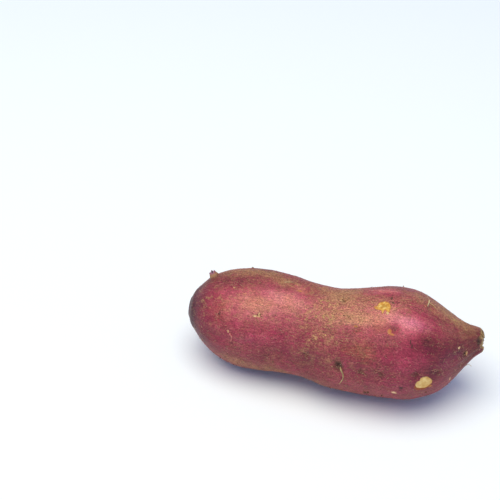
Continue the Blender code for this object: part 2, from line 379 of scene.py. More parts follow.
# %% [markdown]
# ## Finer relief
#
# Close up, the skin is never smooth. Cork cells lift in small bumps, fibres under it run along the
# root, fine creases cross it near both ends, and each eye has a lip and a pinhole. These heights
# are tenths of a millimetre. They are real geometry here, because light along the edge of the root
# shows them, and a painted bump would leave the outline smooth.

# %% Height that only this finer surface has
LIP_HEIGHT = 0.3
PIN_DEPTH = 0.7
PIN_REACH = 0.75


def fine_relief(run, angle, places):
    """Bumps and fibre lines everywhere, with creases and folds across them near both ends."""
    bumps = 0.13 * soil_noise(places, 6.0) + 0.07 * soil_noise(places, 2.6, (5, 1, 2))
    fibres = np.stack([run / 14, 30 * np.cos(angle) / 1.6, 30 * np.sin(angle) / 1.6], axis=1)
    lines = 0.10 * soil_noise(fibres, 1, (1, 8, 3))
    neck = fade(run, END - 34, END - 12) + 1 - fade(run, 5, 20)
    creases = 0.12 * neck * soil_noise(fibres * (9, 0.12, 0.12), 1, (4, 4, 1))
    folds = 0.22 * neck * soil_noise(fibres * (0.5, 0.5, 0.5), 1, (7, 2, 9))
    return bumps + lines + creases + folds


def eye_detail(run, angle, girth):
    """The lip round each eye, and the pinhole where its root broke off."""
    height = 0.0
    for eye in EYES:
        lengthwise, across = eye_reach(eye, run, angle, girth)
        lip = np.hypot(lengthwise / 1.25, across / 0.95)
        height = height + LIP_HEIGHT * eye.shade * np.exp(-(((lip - 1.0) / 0.35) ** 2))
        pin = np.hypot(lengthwise * EYE_LENGTH, across * EYE_BREADTH) * eye.size
        height = height - PIN_DEPTH * eye.shade**2 * np.exp(-((pin / PIN_REACH) ** 2))
    return height


print("lip and pinhole of a dark eye, in mm:", LIP_HEIGHT, PIN_DEPTH)

# %% [markdown]
# ## From a place on the skin to a point in space
#
# Every piece below asks one function where the skin is: the root itself, its rootlets, its hairs and
# the soil on it. So nothing floats and nothing sinks when the form is changed. The rubbed patches
# lie a little below the skin, inside a low healed rim, and where the root lies on the floor it is
# flat, because the skin can't be lower than that.

# %% The skin, in millimetres from the model's origin
PATCH_DEPTH = 0.45
PATCH_RIM = 0.10


def skin_places(run, angle):
    """The point on the skin for each distance along it and each angle round it."""
    along, sideways, height, half_width, half_depth = form_at(run)
    ends = fade(run, 6, 24) * (1 - fade(run, END - 16, END - 4))
    across, rise = -np.cos(angle), np.sin(angle)
    rough = np.stack([along, half_width * across, half_depth * rise], axis=1)
    eye_run, eye_angle = strayed(run, angle, half_width, rough)
    relief = swelling(along, angle, half_width) + tail_folds(run, angle)
    relief -= (furrows(run, angle, half_width) + eye_dimples(eye_run, eye_angle, half_width)) * ends
    relief += fine_relief(run, angle, rough)
    relief += eye_detail(eye_run, eye_angle, half_width) * ends
    for outline in (YELLOW_SCAR, CREAM_SCAR, BACK_SCAR):
        gap = outline_gap(outline, run, angle, half_width)
        near = gap < 3
        gap[near] += 0.3 * soil_noise(rough[near], 1.3, (2, 2, 2))
        relief -= PATCH_DEPTH * (1 - fade(gap, -0.5, 0.15))
        relief += PATCH_RIM * np.exp(-(((gap - 0.5) / 0.35) ** 2))
    places = np.stack(
        [along, sideways + (half_width + relief) * across, height + (half_depth + relief) * rise],
        axis=1,
    )
    places[:, 0] += torn_rim(run, angle)
    places[:, 2] = np.maximum(places[:, 2], 0.0)
    return places - ORIGIN


print("top of the waist:", skin_places(np.array([80.3]), np.array([np.pi / 2])).round(1))

# %% [markdown]
# ## Two cut ends
#
# The blunt end has a flat round cut where the vine came off, and the tail a smaller one that has
# dried brown. A sphere of latitude and longitude rings fits the whole root: its poles are the
# middles of the two cuts, and every ring between them is moved to its place. No seam or cap is
# left over, and the rings and meridians run with the grain.
#
# The vine cut healed nearly flat. At the tail the root was torn off: the skin ends in a ragged rim,
# and the flesh inside dried and sank, with the ends of its fibres standing up.

# %% A sphere, moved to its place on the root
VINE_CUT = 5.8
TAIL_CUT = 3.5
VINE_SUNK = 0.7
TAIL_SUNK = 1.3
AROUND, RINGS = 288, 330


def grown_body(name, around, rings, place):
    """A closed body: place(share, angle) gives the point for each share from pole to pole."""
    mesh = bpy.data.meshes.new(name)
    shape = bmesh.new()
    bmesh.ops.create_uvsphere(shape, u_segments=around, v_segments=rings, radius=1)
    shape.to_mesh(mesh)
    shape.free()
    points = np.empty(len(mesh.vertices) * 3)
    mesh.vertices.foreach_get("co", points)
    x, y, z = points.reshape(-1, 3).T
    share = 1 - np.arccos(np.clip(z, -1, 1)) / np.pi
    angle = np.arctan2(y, x)
    mesh.vertices.foreach_set("co", (place(share, angle) * MM).astype(np.float32).ravel())
    mesh.flip_normals()
    mesh.shade_smooth()
    return mesh, share, angle


def root_path(share):
    """Distance along the skin from the rim of the vine cut. On the cuts it runs past both rims."""
    return -VINE_CUT + share * (END + VINE_CUT + TAIL_CUT)


def root_place(share, angle):
    """The skin between the two rims, and the two cuts drawn in towards their middles."""
    path = root_path(share)
    run = np.clip(path, 0, END)
    inward = 1 - np.clip(-path / VINE_CUT, 0, 1) - np.clip((path - END) / TAIL_CUT, 0, 1)
    skin = skin_places(run, angle)
    along, sideways, height, _, _ = form_at(run)
    middle = np.stack([along, sideways, height], axis=1) - ORIGIN
    places = middle + (skin - middle) * inward[:, None]
    cut = 1 - fade(inward, 0.75, 1.0)
    grain = soil_noise(np.stack([path, 9 * np.cos(angle), 9 * np.sin(angle)], axis=1), 1.4)
    places[:, 0] += np.where(path < 0, (VINE_SUNK + 0.3 * grain) * cut, 0)
    fibre_ends = soil_noise(places, 0.9, (3, 0, 0))
    sunk = (TAIL_SUNK + 0.5 * grain + 0.5 * fibre_ends) * cut
    places[:, 0] -= np.where(path > END, sunk, 0)
    return places


# %% The root takes the place of the solid
root_mesh, root_share, root_angle = grown_body("sweet_potato_skin", AROUND, RINGS, root_place)
root = bpy.data.objects.new("sweet_potato_skin", root_mesh)
bpy.context.scene.collection.objects.link(root)
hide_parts("sweet_potato")
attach(root, "root")
print("faces on the root:", len(root_mesh.polygons))


# %% Check the finer surface against the solid
def gap_to_solid(mesh):
    """Mean and largest distance in millimetres from some of its points to the solid's surface."""
    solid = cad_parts["sweet_potato"].data
    corners = [vertex.co for vertex in solid.vertices]
    tree = BVHTree.FromPolygons(corners, [list(face.vertices) for face in solid.polygons])
    gaps = [tree.find_nearest(vertex.co)[3] / MM for vertex in list(mesh.vertices)[::37]]
    return float(np.mean(gaps)), float(np.max(gaps))


print("mean and largest gap to the solid, in mm: %.2f, %.2f" % gap_to_solid(root_mesh))

# %% [markdown]
# ## Where each colour lies
#
# The red is not even. It is dark as wine towards the tail, and hidden under tan cork and dried soil
# at the waist and the shoulders. Part of its light and dark is painted light: the bright red along
# the upper front of each lobe is painted highlight, the whole upper front is painted lighter and the
# low front darker, and the vine end and the top of the left lobe are darkened as painted shade. Hand
# painting would need an image. Soft zones at measured places, stored on the vertices, do the same and
# can be read by the material. A zone is strongest in its middle and fades out over its reach along
# the root, in millimetres, and its turn round it, in degrees. One that is less than 0 takes away.
#
# There are four kinds: cork (tan), red (bright or dark red, with the painted highlight and painted
# shade), warm (towards orange, or towards magenta where it is less than 0) and threads (loose pale
# fibres that lift from the cork).

# %% Zones of cork and soil
Zone = namedtuple("Zone", "run angle reach turn amount")
CORK_ZONES = (
    Zone(run=100, angle=90, reach=15, turn=26, amount=0.9),
    Zone(run=90, angle=108, reach=14, turn=20, amount=0.7),
    Zone(run=107, angle=72, reach=9, turn=12, amount=0.4),
    Zone(run=89, angle=58, reach=11, turn=15, amount=0.6),
    Zone(run=96, angle=40, reach=10, turn=12, amount=0.3),
    Zone(run=88, angle=24, reach=9, turn=12, amount=0.2),
    Zone(run=140, angle=104, reach=10, turn=14, amount=0.7),
    Zone(run=156, angle=106, reach=12, turn=22, amount=0.9),
    Zone(run=173, angle=100, reach=11, turn=30, amount=1.1),
    Zone(run=35, angle=-24, reach=15, turn=12, amount=0.7),
    Zone(run=60, angle=-34, reach=22, turn=12, amount=0.7),
    Zone(run=34, angle=102, reach=11, turn=16, amount=0.7),
    Zone(run=51, angle=109, reach=15, turn=14, amount=0.8),
    Zone(run=64, angle=98, reach=8, turn=8, amount=0.5),
    Zone(run=100, angle=-48, reach=30, turn=12, amount=0.6),
    Zone(run=112, angle=26, reach=8, turn=9, amount=0.3),
    Zone(run=136, angle=28, reach=22, turn=22, amount=-0.6),
    Zone(run=62, angle=22, reach=10, turn=12, amount=-0.6),
    Zone(run=134, angle=62, reach=14, turn=10, amount=-0.4),
    # less cork on the vine end so that its dark red shows; with the red zones this is painted shade
    Zone(run=6, angle=25, reach=22, turn=60, amount=-1.0),
    Zone(run=112, angle=60, reach=12, turn=9, amount=0.6),
    Zone(run=124, angle=84, reach=12, turn=9, amount=0.6),
    Zone(run=50, angle=52, reach=16, turn=12, amount=0.3),
    Zone(run=121, angle=102, reach=9, turn=6, amount=-1.0),
)
print("zones of cork:", len(CORK_ZONES))

# %% Zones of bright or dark red, and of painted highlight and painted shade
RED_AND_PAINTED_LIGHT_ZONES = (
    Zone(run=74, angle=91, reach=4, turn=6, amount=1.0),
    # painted highlight along the upper front of the left lobe
    Zone(run=67, angle=69, reach=14, turn=12, amount=0.8),
    # painted highlight on the left lobe
    Zone(run=54, angle=51, reach=14, turn=14, amount=1.15),
    Zone(run=39, angle=58, reach=12, turn=14, amount=0.3),
    Zone(run=56, angle=14, reach=14, turn=13, amount=0.3),
    # painted highlight on the right lobe
    Zone(run=134, angle=63, reach=9, turn=10, amount=0.9),
    # painted highlight on the right lobe
    Zone(run=143, angle=62, reach=8, turn=10, amount=0.8),
    # painted highlight on the right lobe
    Zone(run=123, angle=64, reach=8, turn=8, amount=0.6),
    # painted highlight on the right lobe
    Zone(run=110, angle=60, reach=12, turn=10, amount=0.9),
    Zone(run=122, angle=103, reach=9, turn=7, amount=1.2),
    # painted shade on the top of the left lobe
    Zone(run=39, angle=88, reach=11, turn=8, amount=-0.3),
    Zone(run=148, angle=49, reach=8, turn=9, amount=-0.8),
    Zone(run=144, angle=39, reach=8, turn=9, amount=-0.6),
    Zone(run=162, angle=44, reach=9, turn=20, amount=-0.6),
    Zone(run=178, angle=40, reach=9, turn=90, amount=-0.7),
    Zone(run=80, angle=-9, reach=16, turn=12, amount=-0.2),
    # painted shade: the vine end darker
    Zone(run=-4, angle=0, reach=17, turn=110, amount=-1.5),
    # painted shade: the top of the vine end darker
    Zone(run=-4, angle=90, reach=18, turn=110, amount=-0.7),
    # painted shade low on the front near the vine end
    Zone(run=20, angle=-14, reach=9, turn=22, amount=-0.5),
    # painted highlight on the upper front of the left lobe
    Zone(run=64, angle=76, reach=9, turn=9, amount=0.6),
    # painted highlight on the upper front of the right lobe
    Zone(run=124, angle=75, reach=10, turn=7, amount=0.6),
    # painted highlight at the front of the right lobe
    Zone(run=102, angle=60, reach=8, turn=9, amount=0.4),
    # painted shade along the top of the left lobe
    Zone(run=36, angle=106, reach=22, turn=14, amount=-0.5),
    Zone(run=63, angle=22, reach=9, turn=11, amount=0.35),
    # painted shade: the whole low front a little darker
    Zone(run=100, angle=5, reach=120, turn=28, amount=-0.22),
    # painted light: the whole upper front lighter
    Zone(run=90, angle=65, reach=60, turn=22, amount=0.8),
    Zone(run=152, angle=8, reach=9, turn=10, amount=-0.35),
    Zone(run=44, angle=22, reach=16, turn=20, amount=0.3),
    Zone(run=127, angle=24, reach=15, turn=16, amount=0.35),
)
print("zones of red:", len(RED_AND_PAINTED_LIGHT_ZONES))

# %% Zones that lean to orange or to magenta
WARM_ZONES = (
    Zone(run=67, angle=66, reach=14, turn=12, amount=0.4),
    Zone(run=54, angle=56, reach=12, turn=10, amount=0.6),
    Zone(run=75, angle=89, reach=6, turn=6, amount=1.0),
    Zone(run=116, angle=60, reach=14, turn=10, amount=1.1),
    Zone(run=98, angle=62, reach=9, turn=12, amount=0.7),
    Zone(run=126, angle=76, reach=9, turn=7, amount=0.6),
    Zone(run=46, angle=58, reach=12, turn=12, amount=0.5),
    Zone(run=112, angle=24, reach=11, turn=11, amount=1.4),
    Zone(run=30, angle=38, reach=14, turn=18, amount=0.5),
    Zone(run=122, angle=103, reach=9, turn=7, amount=0.9),
    Zone(run=136, angle=64, reach=9, turn=8, amount=-0.4),
    Zone(run=144, angle=61, reach=8, turn=9, amount=-0.45),
    Zone(run=45, angle=12, reach=12, turn=10, amount=-0.6),
    Zone(run=87, angle=8, reach=5, turn=5, amount=-0.8),
    Zone(run=105, angle=16, reach=10, turn=10, amount=-0.6),
    Zone(run=168, angle=20, reach=14, turn=24, amount=-0.8),
    Zone(run=137, angle=-6, reach=9, turn=9, amount=-0.8),
)
print("warm zones:", len(WARM_ZONES))

# %% Zones of loose threads
THREAD_ZONES = (
    Zone(run=87, angle=34, reach=15, turn=30, amount=1.1),
    Zone(run=48, angle=66, reach=26, turn=22, amount=0.5),
    Zone(run=88, angle=72, reach=13, turn=24, amount=0.7),
    Zone(run=112, angle=24, reach=14, turn=24, amount=0.25),
    Zone(run=157, angle=100, reach=20, turn=24, amount=0.8),
    Zone(run=70, angle=104, reach=14, turn=12, amount=0.8),
    Zone(run=20, angle=40, reach=20, turn=50, amount=0.6),
    Zone(run=172, angle=60, reach=9, turn=50, amount=0.5),
)
print("zones of threads:", len(THREAD_ZONES))


# %% Zones on the far side, by chance
def hidden_zones(count, least, most, chance):
    """Zones on the side away from the front, by chance."""
    limits = ((20, 175), (125, 320), (8, 18), (10, 24), (least, most))
    return [Zone(*[chance.uniform(low, high) for low, high in limits]) for _ in range(count)]


ZONE_CHANCE = random.Random(SEED + 5)
CORK_ZONES += tuple(hidden_zones(16, 0.4, 0.9, ZONE_CHANCE))
RED_AND_PAINTED_LIGHT_ZONES += tuple(hidden_zones(10, -0.6, 0.8, ZONE_CHANCE))
WARM_ZONES += tuple(hidden_zones(12, -1.0, 1.0, ZONE_CHANCE))
THREAD_ZONES += tuple(hidden_zones(8, 0.4, 1.0, ZONE_CHANCE))
print("zones in all:", len(CORK_ZONES + RED_AND_PAINTED_LIGHT_ZONES + WARM_ZONES + THREAD_ZONES))


# %% Helpers that store a value for each vertex
def zone_sum(zones, run, angle):
    """What all zones of a kind add up to at each place."""
    total = np.zeros(len(run))
    for zone in zones:
        lengthwise = (run - zone.run) / zone.reach
        across = np.degrees(turn_between(zone.angle, angle)) / zone.turn
        total += zone.amount * np.exp(-(lengthwise**2) - across**2)
    return total


def store(mesh, name, values):
    """Keeps one number or one vector for each vertex, under a name that a material can read."""
    kind, key = ("FLOAT", "value") if values.ndim == 1 else ("FLOAT_VECTOR", "vector")
    stored = mesh.attributes.new(name, kind, "POINT")
    stored.data.foreach_set(key, values.astype(np.float32).ravel())


def eye_shade(run, angle, girth):
    """How dark the crust of the nearest eye is at each place, from 0 to 1."""
    shade = np.zeros(len(run))
    for eye in EYES:
        lengthwise, across = eye_reach(eye, run, angle, girth)
        here = np.exp(-((lengthwise / 1.0) ** 2) - (across / 0.85) ** 2)
        shade = np.maximum(shade, eye.shade * here)
    return shade


print("shade at the middle of the darkest eye:", max(eye.shade for eye in EYES))

# %% [markdown]
# ## Values for the material to read
#
# "grain" is a place on the skin as if the root were a straight, even rod, so that fibres drawn with
# it run along the root and close in at both ends. The others are the zones, the eyes, how far a
# place is from the edge of a patch, and "rim", how far it is from the torn rim at the tail. The
# cream patch cuts deeper into the skin at its lower edge and shows a brown rim there: that is the
# same outline, moved down and back by about a millimetre.

# %% Store the zones, eyes and scars on the vertices
MOST_CORK = 1.1
ROD_RADIUS = 30
LOWER_EDGE = (-0.6, -3.2)
path = root_path(root_share)
run = np.clip(path, 0, END)
girth = form_at(run)[3]
rod = np.stack([path, ROD_RADIUS * np.cos(root_angle), ROD_RADIUS * np.sin(root_angle)], axis=1)
store(root_mesh, "grain", rod * MM)
store(root_mesh, "cork", np.minimum(zone_sum(CORK_ZONES, run, root_angle), MOST_CORK))
# The red values hold painted highlight and painted shade as well as the skin's own red.
store(root_mesh, "red", zone_sum(RED_AND_PAINTED_LIGHT_ZONES, run, root_angle))
store(root_mesh, "threads", zone_sum(THREAD_ZONES, run, root_angle))
spots = np.array([vertex.co / MM for vertex in root_mesh.vertices])
store(root_mesh, "eye", eye_shade(*strayed(run, root_angle, girth, spots), girth))
yellow_gap = outline_gap(YELLOW_SCAR, run, root_angle, girth)
back_gap = outline_gap(BACK_SCAR, run, root_angle, girth)
store(root_mesh, "yellow_scar", np.minimum(yellow_gap, back_gap))
store(root_mesh, "cream_scar", outline_gap(CREAM_SCAR, run, root_angle, girth))
low_outline = [(r + LOWER_EDGE[0], a + LOWER_EDGE[1]) for r, a in CREAM_SCAR]
store(root_mesh, "cream_low", outline_gap(low_outline, run, root_angle, girth))
store(root_mesh, "small_scar", blob_distance(SMALL_SCARS, run, root_angle, girth))
store(root_mesh, "ochre_mark", blob_distance(OCHRE_MARKS, run, root_angle, girth))
store(root_mesh, "dark_mark", blob_distance(DARK_MARKS, run, root_angle, girth))
store(root_mesh, "warm", zone_sum(WARM_ZONES, run, root_angle))
low_front = np.exp(-((np.degrees(turn_between(-15, root_angle)) / 40) ** 2))
store(root_mesh, "rim", END - path + 3.0 * low_front)
store(root_mesh, "shadow", np.clip((furrows(run, root_angle, girth) - 0.2) * 1.2, 0, 1))
print("stored:", [a.name for a in root_mesh.attributes if not a.name.startswith(".")])

# %% [markdown]
# ## Helpers for materials
#
# A colour picked from a screen is in sRGB, but the renderer works in linear light, so one function
# turns hex values to linear. Another adds a node with its settings and links in one line. Pattern
# scales are given by the size of a real feature in millimetres.


# %% Colour and node helpers
def linear(hex_colour):
    """An sRGB hex colour as linear red, green, blue and alpha."""
    parts = [int(hex_colour[i : i + 2], 16) / 255 for i in (1, 3, 5)]
    return [p / 12.92 if p <= 0.04045 else ((p + 0.055) / 1.055) ** 2.4 for p in parts] + [1.0]


def add(tree, kind, links=None, stops=None, **settings):
    """Adds a node, sets its properties, and sets or links its inputs. stops are a ramp's colours."""
    node = tree.nodes.new(kind)
    for name, value in settings.items():
        setattr(node, name, value)
    for socket, value in (links or {}).items():
        if isinstance(value, bpy.types.NodeSocket):
            tree.links.new(value, node.inputs[socket])
        else:
            node.inputs[socket].default_value = value
    if stops:
        ramp = node.color_ramp.elements
        while len(ramp) < len(stops):
            ramp.new(0.5)
        for element, (position, colour) in zip(ramp, stops):
            element.position, element.color = position, linear(colour)
    return node


def per_mm(size):
    """A noise scale whose lumps are about size millimetres across, for coordinates in metres."""
    return 1 / (size * MM)


def new_material(name):
    """A material with its node tree and its shader."""
    material = bpy.data.materials.new(name)
    material.use_nodes = True
    tree = material.node_tree
    return material, tree, tree.nodes["Principled BSDF"]


print("rose skin in linear light:", [round(c, 3) for c in linear("#A8415A")])

# %% [markdown]
# ## The skin
#
# The skin is periderm: a few layers of cork cells, washed and air dried. Cork is dull, and the red
# under it shows through where the cork is thin. So the colour is built as the root builds it: red
# with slow changes, then tan cork threads and specks over it, then dark pores, eyes and scars.
# Two kinds of noise do most of it. One is even in all directions, for specks. One is stretched
# along the grain, for fibres, and uses the stored "grain" place so that it closes in at both ends.
# To the eye this gives a soft, dry rose colour that is never flat, with a low, broad shine.

# %% Red layer
skin, tree, shader = new_material("skin, cork over red, washed and air dried")
place = add(tree, "ShaderNodeTexCoord").outputs["Object"]
grain = add(tree, "ShaderNodeAttribute", attribute_name="grain").outputs["Vector"]
value = {
    name: add(tree, "ShaderNodeAttribute", attribute_name=name).outputs["Fac"]
    for name in ("cork", "red", "warm", "threads", "eye", "yellow_scar", "cream_scar", "cream_low",
                 "small_scar", "ochre_mark", "dark_mark", "shadow", "rim")
}


def lumps(size, detail=2.0, roughness=0.55, start=(0.0, 0.0, 0.0)):
    """Noise whose lumps are about size millimetres across, even in all directions."""
    moved = add(tree, "ShaderNodeVectorMath", {0: place, 1: start}, operation="ADD")
    settings = {"Vector": moved.outputs[0], "Scale": per_mm(size)}
    settings |= {"Detail": detail, "Roughness": roughness}
    return add(tree, "ShaderNodeTexNoise", settings).outputs["Fac"]


def fibres(length, width, detail=2.0, start=(0.0, 0.0, 0.0), wander=0.0):
    """Noise stretched along the grain, for marks of this length and width in millimetres."""
    scale = (per_mm(length), per_mm(width), per_mm(width))
    moved = add(tree, "ShaderNodeMapping", {"Vector": grain, "Scale": scale, "Location": start})
    settings = {"Vector": moved.outputs[0], "Scale": 1.0, "Detail": detail, "Distortion": wander}
    return add(tree, "ShaderNodeTexNoise", settings).outputs["Fac"]


def maths(operation, a, b=0.0, c=0.0):
    """One sum on values or on the outputs of other nodes."""
    return add(tree, "ShaderNodeMath", {0: a, 1: b, 2: c}, operation=operation).outputs[0]


def times(a, b):
    return maths("MULTIPLY", a, b)


def around_zero(noise_value, amount):
    """Noise moved so that it adds as much as it takes away."""
    return maths("MULTIPLY_ADD", noise_value, amount, -0.5 * amount)


def between(value_in, low, high):
    """0 below low and 1 above high, smooth between them."""
    settings = {"Value": value_in, "From Min": low, "From Max": high}
    return add(tree, "ShaderNodeMapRange", settings, interpolation_type="SMOOTHSTEP").outputs["Result"]


def line_where_half(noise_value, width):
    """Thin winding lines, where the noise is close to one half."""
    off = maths("ABSOLUTE", maths("SUBTRACT", noise_value, 0.5))
    return maths("SUBTRACT", 1.0, between(off, 0.0, width))


def over(base, colour, share):
    """Lays a colour over the base by a share."""
    return add(tree, "ShaderNodeMix", {0: share, 6: base, 7: colour}, data_type="RGBA").outputs[2]


def ramp(share, *stops):
    """A colour that changes with the share, through these stops."""
    return add(tree, "ShaderNodeValToRGB", {"Fac": share}, stops=stops).outputs["Color"]


print("values that the skin reads:", len(value))

# %% From wine to rose, with patches that lean to orange or to magenta
SLOW_RED, QUICK_RED = 26, 7
# The stored red zones bring painted highlight and painted shade into the red, with the skin's own red.
redness = maths("MULTIPLY_ADD", value["red"], 0.28, 0.46)
redness = maths("ADD", redness, around_zero(lumps(SLOW_RED, 1), 0.42))
redness = maths("ADD", redness, around_zero(lumps(QUICK_RED, 3), 0.34))
redness = maths("ADD", redness, around_zero(fibres(18, 1.3, 2), 0.28))
red = ramp(
    redness,
    (0.08, "#4A1925"),
    (0.32, "#802739"),
    (0.55, "#A2384C"),
    (0.76, "#C05164"),
    (0.96, "#DE7C82"),
)
hue = maths("ADD", value["warm"], around_zero(lumps(9, 2, 0.5, (0.3, 0.3, 0)), 1.6))
orange_red = ramp(redness, (0.1, "#5A1F22"), (0.55, "#A64A40"), (0.95, "#D88268"))
magenta_red = ramp(redness, (0.1, "#4A1830"), (0.55, "#A23558"), (0.95, "#D2648A"))
red = over(red, orange_red, times(between(hue, 0.0, 1.2), 0.75))
red = over(red, magenta_red, times(between(hue, 0.0, -1.2), 0.6))
print("the red changes over, in mm:", SLOW_RED, QUICK_RED)

# %% [markdown]
# ## Cork
#
# Cork grows in short scales along the root. Where they are thick the skin is tan, and where they
# are worn the red shows between them. Real scales are 0.2 to 0.5 mm wide, and a pixel of the picture
# is about 0.56 mm, so they are drawn 0.7 mm wide, or they wouldn't show at all. Two noises are laid
# over each other, short specks and longer threads, and the stored cork zones say where they win.

# %% Cork threads and specks over the red
SPECK = (1.5, 0.7)
CORK_THREAD = (3.0, 0.75)
speck = fibres(*SPECK, 2, (0.3, 0.1, 0.2))
weave = fibres(*CORK_THREAD, 2, (0.4, 0.1, 0.7), 0.6)
cork_map = maths("ADD", times(value["cork"], 0.15), around_zero(lumps(13, 3, 0.6, (0.7, 0, 0)), 0.30))
cover = maths("ADD", maths("MULTIPLY_ADD", speck, 0.28, times(weave, 0.40)), cork_map)
cork_share = between(cover, 0.24, 0.58)
cork_grain = maths("SUBTRACT", lumps(0.8, 2, 0.6, (0.9, 0.4, 0.1)), 0.03)
cork_tone = maths("MULTIPLY_ADD", value["cork"], 0.14, cork_grain)
cork = ramp(cork_tone, (0.32, "#6A4030"), (0.50, "#966847"), (0.66, "#C09465"))
colour = over(red, cork, times(cork_share, 0.75))
print("cork specks in mm:", SPECK, "and threads:", CORK_THREAD)

# %% [markdown]
# ## Loose threads, pores and grit
#
# Drying lifts single fibres from the cork. They lie on the skin as short, bent, pale wisps, thickest
# at the waist. Each is a line where one stretched noise passes its middle value, cut into pieces by
# a second one. A finer pink net, drawn the same way, is where the top of the red layer has cracked.
# Pores are small and dark. Last comes grit: each cork cell and each grain of dust takes the light
# its own way. Real cells are far too small to show, so the grit is drawn about half a millimetre
# wide. It brightens and darkens the colour, which a bump that fine could not do evenly.

# %% Pale threads and the pink net
LONG_WISP, SHORT_WISP = (6.5, 1.9), (3.6, 1.5)
peeling = maths("MULTIPLY_ADD", between(value["cork"], 0.1, 1.0), 0.5, value["threads"])
thread_patch = times(between(lumps(7, 2, 0.5, (0.2, 0.9, 0.4)), 0.36, 0.58), peeling)
broken = between(lumps(3.0, 1, 0.5, (0.8, 0.2, 0.2)), 0.46, 0.56)
long_wisps = line_where_half(fibres(*LONG_WISP, 1, (0, 0.3, 0), 0.8), 0.055)
short_wisps = line_where_half(fibres(*SHORT_WISP, 1, (5, 0.3, 2), 1.3), 0.075)
thread = times(maths("MAXIMUM", long_wisps, times(short_wisps, 0.8)), times(thread_patch, broken))
pink_net = line_where_half(fibres(5.0, 1.4, 1, (2, 2, 2), 1.0), 0.07)
pink_net = times(pink_net, between(lumps(4, 1, 0.5, (0.1, 0.4, 0.1)), 0.44, 0.58))
colour = over(colour, linear("#D4887C"), times(times(pink_net, between(value["red"], -0.7, 0.4)), 0.26))
thread_colour = ramp(lumps(6, 1, 0.5, (0.2, 0.6, 0.6)), (0.42, "#C48860"), (0.56, "#C8A064"))
colour = over(colour, thread_colour, times(thread, 0.8))
print("noise that bends the wisps, in mm:", LONG_WISP, SHORT_WISP)

# %% Dark pores, furrow shade and grit
PORE = (1.5, 0.7)
GRIT = (0.8, 0.5)
pores = between(fibres(*PORE, 1, (0.5, 0.5, 0.9)), 0.60, 0.74)
colour = over(colour, linear("#54202A"), times(pores, 0.40))
colour = over(colour, linear("#5E2A2F"), times(value["shadow"], 0.2))
grit_depth = maths("MULTIPLY_ADD", between(value["cork"], 0.0, 0.9), 0.4, 1.8)
grain_of_grit = maths("SUBTRACT", fibres(*GRIT, 1, (0.4, 0, 0.8)), 0.5)
grit = maths("MULTIPLY_ADD", grain_of_grit, grit_depth, 0.95)
grit = maths("ADD", grit, around_zero(fibres(3.2, 1.3, 2, (0.9, 0.6, 0)), 0.55))
colour = add(tree, "ShaderNodeHueSaturation", {"Color": colour, "Value": grit}).outputs["Color"]
print("pores in mm:", PORE, "and grit:", GRIT)

# %% [markdown]
# ## Eyes, rim and scars
#
# An eye keeps a brown crust of dead root, nearly black in its middle, with pale flecks of the wall
# that broke. Noise is added to the stored shade before it is cut off, so that each crust is ragged.
# The same is done with the torn rim, which dried to a golden brown, and with the edges of the
# scars. Healed flesh is matt, cream or deep yellow, with a darker line round it.

# %% Eyes
crust = maths("ADD", value["eye"], around_zero(lumps(1.9, 3, 0.7, (0.4, 0.4, 0.1)), 1.3))
crust = times(crust, between(value["eye"], 0.03, 0.2))
colour = over(colour, linear("#5A3826"), times(between(crust, 0.10, 0.70), 0.65))
colour = over(colour, linear("#1F1710"), times(between(crust, 0.60, 1.10), 0.9))
flecks = times(between(lumps(0.7, 1, 0.5, (0.6, 0.1, 0.2)), 0.62, 0.68), between(crust, 0.7, 1.0))
colour = over(colour, linear("#A9A27C"), times(flecks, 0.75))
marks = maths("ADD", value["dark_mark"], around_zero(lumps(1.2, 3, 0.6, (0.2, 0.1, 0.5)), 1.6))
colour = over(colour, linear("#33291F"), times(between(marks, 1.25, 0.5), 0.75))
print("eyes: a brown crust and a dark middle with pale flecks")

# %% Dried rim round the tail
RIM_START, RIM_FULL = 5.2, 4.0
from_rim = maths("ADD", value["rim"], around_zero(lumps(2.4, 3, 0.6, (0.9, 0.9, 0)), 7.0))
rim_grain = lumps(1.0, 3, 0.6, (0.1, 0.9, 0))
dried_rim = ramp(rim_grain, (0.34, "#4A3222"), (0.48, "#94703F"), (0.62, "#C4A066"))
colour = over(colour, dried_rim, times(between(from_rim, RIM_START, RIM_FULL), 0.9))
print("dried rim is wide, in mm, about:", (RIM_START + RIM_FULL) / 2)

# %% Edges of the scars
RAGGED = 1.4
ragged = around_zero(lumps(1.5, 3, 0.6, (0.1, 0.1, 0.8)), RAGGED)
yellow_edge = maths("ADD", value["yellow_scar"], ragged)
cream_edge = maths("ADD", value["cream_scar"], times(ragged, 0.5))
low_edge = maths("ADD", value["cream_low"], times(ragged, 0.5))
small_edge = maths("ADD", value["small_scar"], times(ragged, 0.6))
bare_yellow = maths("SUBTRACT", 1.0, between(yellow_edge, -0.20, 0.15))
bare_cream = maths("SUBTRACT", 1.0, between(cream_edge, -0.15, 0.15))
bare_small = maths("SUBTRACT", 1.0, between(small_edge, 0.6, 1.2))
rim_yellow = maths("SUBTRACT", 1.0, between(yellow_edge, 0.0, 0.7))
rim_cream = maths("SUBTRACT", 1.0, between(low_edge, -0.2, 0.3))
print("edges of the scars stray both ways by at most, in mm:", RAGGED / 2)

